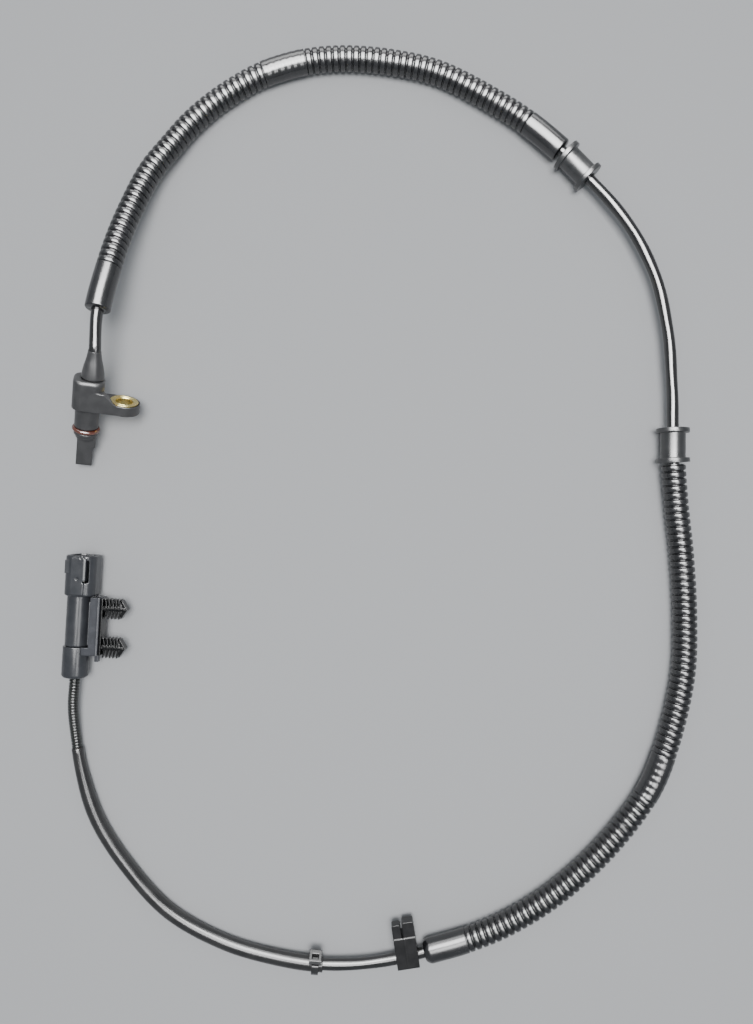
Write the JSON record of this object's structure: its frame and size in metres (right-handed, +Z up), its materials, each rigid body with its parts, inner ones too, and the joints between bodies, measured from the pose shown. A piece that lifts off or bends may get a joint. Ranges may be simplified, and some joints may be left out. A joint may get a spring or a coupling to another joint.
{
  "type": "wheel speed sensor with cable",
  "caption": "Wheel speed sensor: slim probe head with O-ring and bolt ear on a long cable with corrugated conduits, grommets, clip and a plug with fir-tree mounts.",
  "frame": {"origin": "on the surface that the part lies on, under the middle of the sensor head's box", "axes": "+Z up; +Y from the head's sensing tip towards its cable; +X to the side where the cable's loop lies"},
  "size_m": [0.2682, 0.3934, 0.0297],
  "materials": {
    "charcoal_plastic": "fine matt moulded",
    "boot_plastic": "fine matt moulded",
    "conduit_plastic": "semi-gloss extruded",
    "cable_jacket": "semi-gloss extruded",
    "grommet_rubber": "satin moulded",
    "tie_plastic": "gloss moulded",
    "sleeve_plastic": "matt to semi-gloss extruded",
    "slate_plastic": "satin moulded",
    "tree_plastic": "semi-gloss moulded",
    "yellow_zinc": "yellow zinc plated",
    "seal_rubber": "smooth moulded",
    "insert_plastic": "matt moulded",
    "magnet_steel": "sintered",
    "tinned_metal": "tin plated",
    "white_insulation": "smooth extruded",
    "brown_insulation": "smooth extruded"
  },
  "bodies": {
    "root": {"sensor_housing": "charcoal_plastic", "mounting_bush": "yellow_zinc", "o_ring": "seal_rubber", "cable_boot": "boot_plastic", "hall_element": "insert_plastic", "bias_magnet": "magnet_steel", "lead_carrier": "insert_plastic", "sensor_lead_left": "tinned_metal", "sensor_lead_right": "tinned_metal", "head_core_white": "white_insulation", "head_core_brown": "brown_insulation", "cable": "cable_jacket", "conduit_front": "conduit_plastic", "conduit_rear": "conduit_plastic", "grommet_front": "grommet_rubber", "grommet_rear": "grommet_rubber", "cable_clip": "charcoal_plastic", "cable_tie": "tie_plastic", "cable_sleeve": "sleeve_plastic", "ribbed_tube": "conduit_plastic", "tail_core_white": "white_insulation", "tail_core_brown": "brown_insulation", "connector_housing": "slate_plastic", "connector_rear_cap": "slate_plastic", "wire_seal": "seal_rubber", "terminal_block": "insert_plastic", "terminal_pin_left": "tinned_metal", "terminal_pin_right": "tinned_metal", "connector_retainer": "slate_plastic", "fir_tree_mount": "tree_plastic"}
  },
  "joints": []
}
